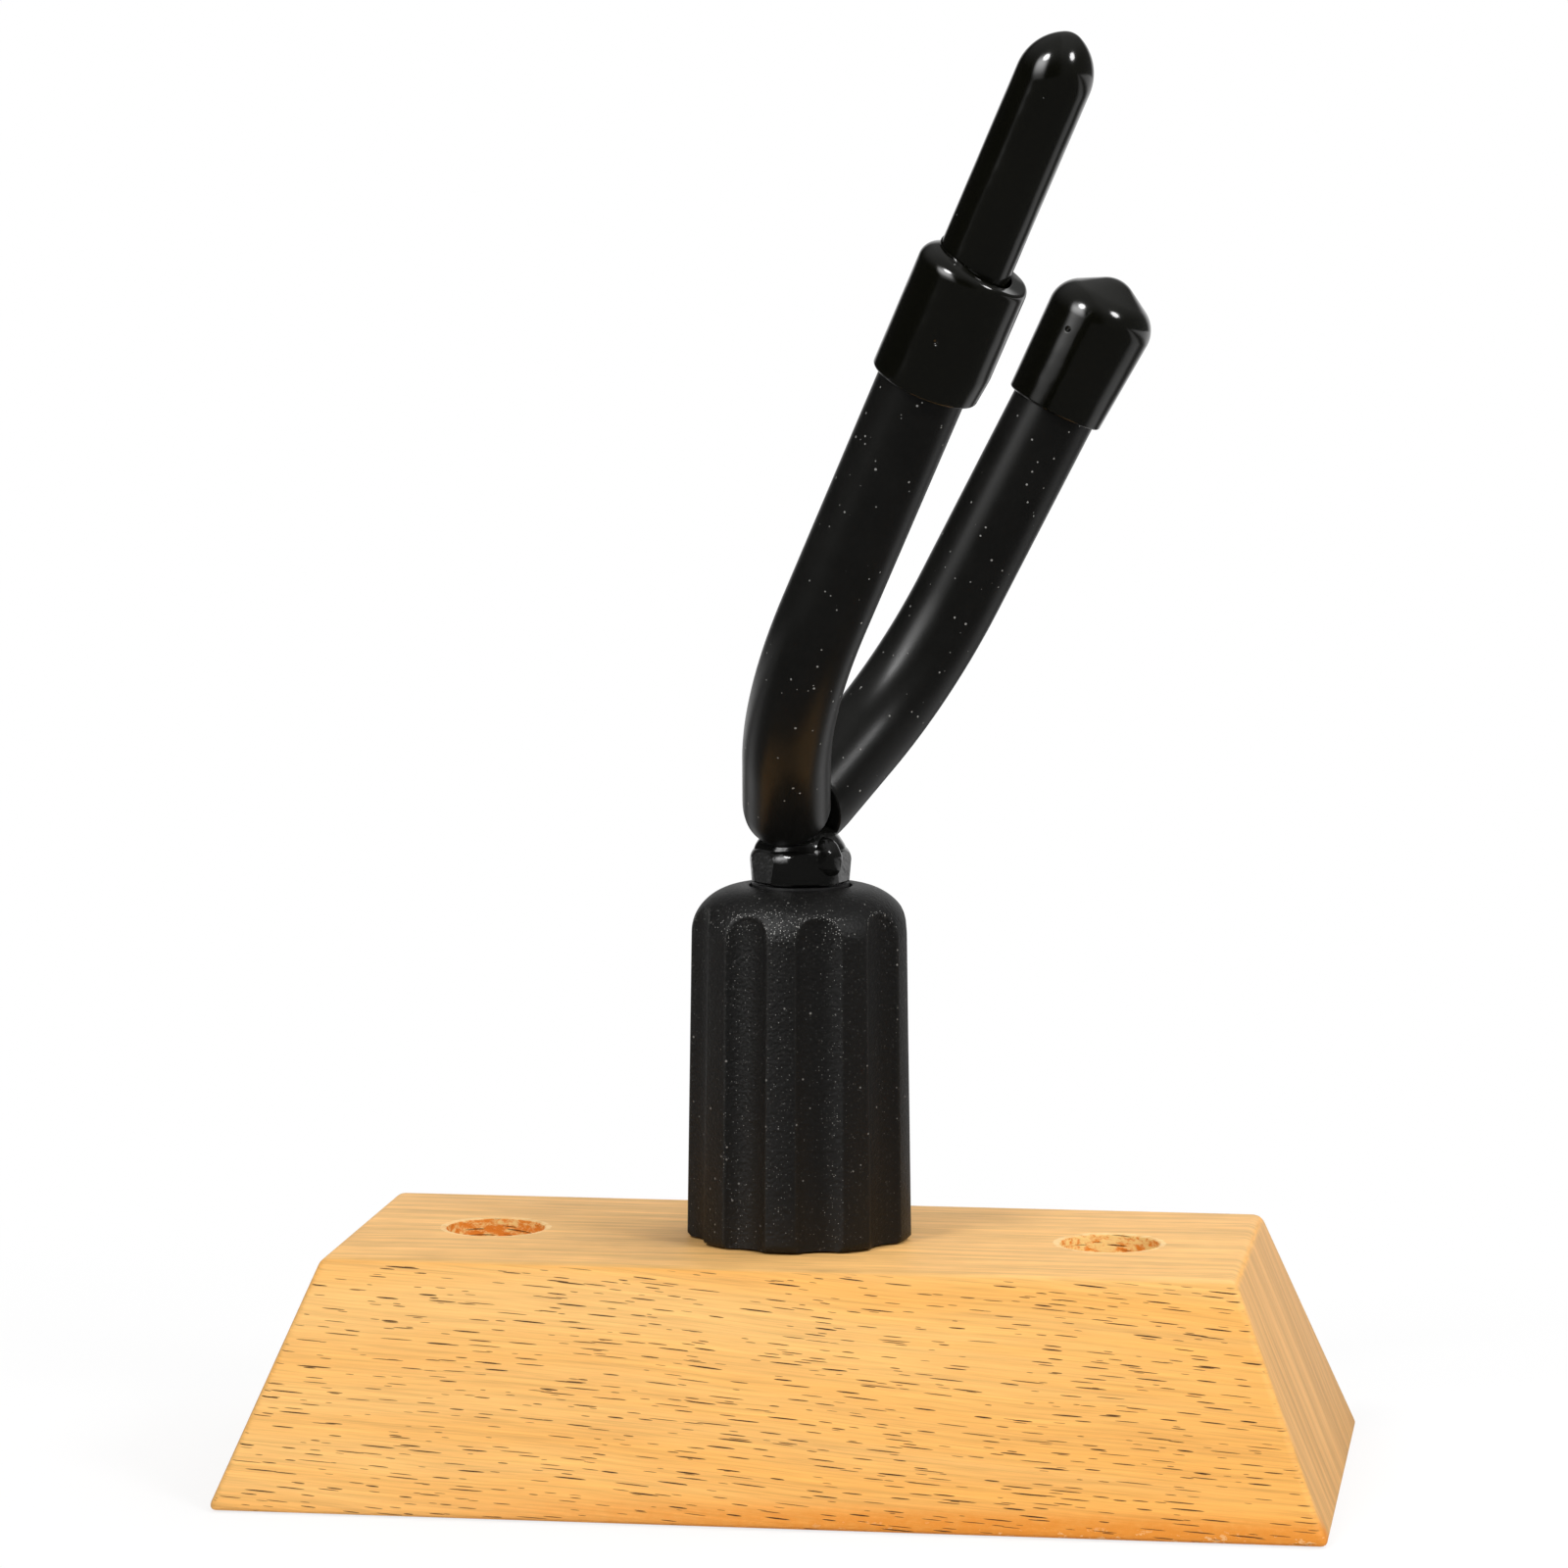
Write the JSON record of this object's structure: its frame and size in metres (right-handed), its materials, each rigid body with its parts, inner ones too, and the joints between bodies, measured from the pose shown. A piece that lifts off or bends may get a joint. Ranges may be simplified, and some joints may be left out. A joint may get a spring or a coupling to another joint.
{
  "type": "violin wall hanger",
  "caption": "Wall hanger for a violin: a swivelling yoke with rubber-covered arms and a bow peg, on a fluted housing and a bevelled beech block.",
  "frame": {"origin": "on the yoke's swivel axis, in the plane of the wall face", "axes": "+Z out of the wall along the swivel axis, +X along the block's length, towards the side that the arms lean to"},
  "size_m": [0.15, 0.086, 0.1973],
  "materials": {
    "beech": "sanded, thin clear oil",
    "moulded black plastic": "spark-eroded texture",
    "black nylon": "as moulded",
    "white nylon": "as moulded",
    "black gloss paint": "gloss black paint",
    "zinc plated steel": "bright zinc plate",
    "spring steel": "plain, lightly oiled",
    "black rubber": "satin extruded tubing",
    "black vinyl": "glossy dipped vinyl"
  },
  "bodies": {
    "wall_base": {"base_block": "beech", "fluted_housing": "moulded black plastic", "locating_pin_left": "zinc plated steel", "locating_pin_right": "zinc plated steel", "top_washer": "black nylon", "block_bush": "white nylon", "seat_plate": "zinc plated steel", "wave_washer": "spring steel"},
    "yoke": {"nut_washer": "zinc plated steel", "lock_nut": "zinc plated steel", "lock_ring": "white nylon", "yoke_bolt": "black gloss paint", "yoke_rod": "black gloss paint", "near_tube": "black rubber", "far_tube": "black rubber", "near_collar": "black vinyl", "far_cap": "black vinyl", "bow_peg_sleeve": "black vinyl"}
  },
  "joints": [
    {"name": "yoke_swivel", "type": "hinge", "parent": "wall_base", "child": "yoke", "pos_m": [0, 0, 0.0813], "axis": [0, 0, 1], "continuous": true}
  ]
}
